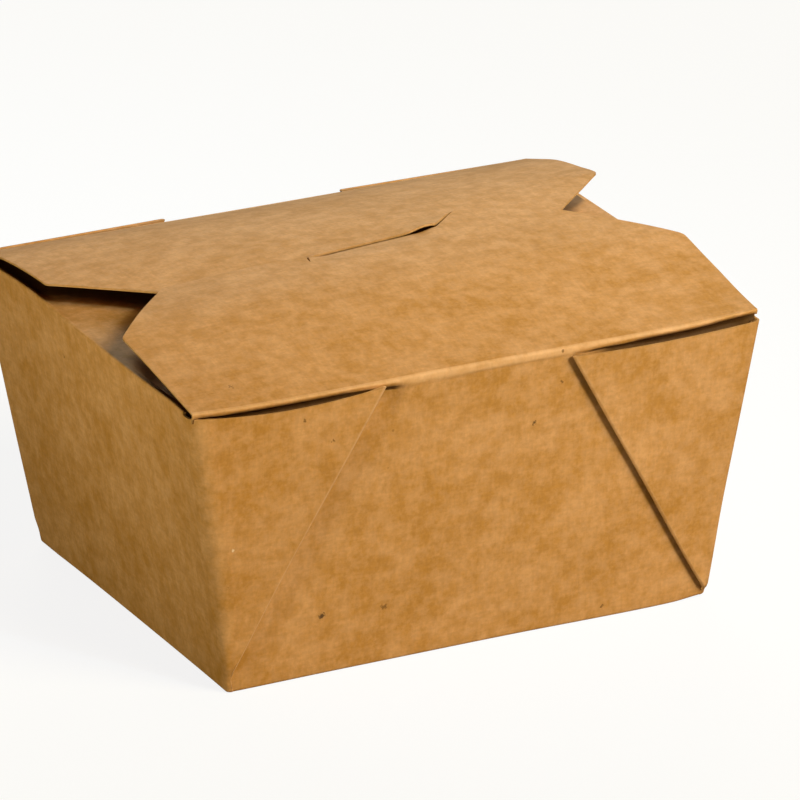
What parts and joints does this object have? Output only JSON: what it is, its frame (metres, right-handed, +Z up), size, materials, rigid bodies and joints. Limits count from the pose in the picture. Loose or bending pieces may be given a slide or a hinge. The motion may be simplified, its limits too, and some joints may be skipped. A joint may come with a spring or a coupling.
{
  "type": "takeaway box",
  "caption": "Folded kraft board takeaway box with tapering walls, corner gussets folded flat on the front and rear, and a tuck-top lid whose front flap hinges open.",
  "frame": {"origin": "centre of the base, on the surface that the box stands on", "axes": "+X to the right along the rim's length, +Y from the front flap's fold to the rear flap's fold, +Z up"},
  "size_m": [0.1308, 0.1149, 0.0736],
  "materials": {
    "kraft_board": "matt unbleached kraft board with fine mottling and dark fibre specks"
  },
  "bodies": {
    "carton": {"carton": "kraft_board"},
    "front_flap": {"front_flap": "kraft_board"}
  },
  "joints": [
    {"name": "front_flap_fold", "type": "hinge", "parent": "carton", "child": "front_flap", "pos_m": [0, -0.0561, 0.0648], "axis": [1, 0, 0], "range_deg": [0, 170]}
  ]
}
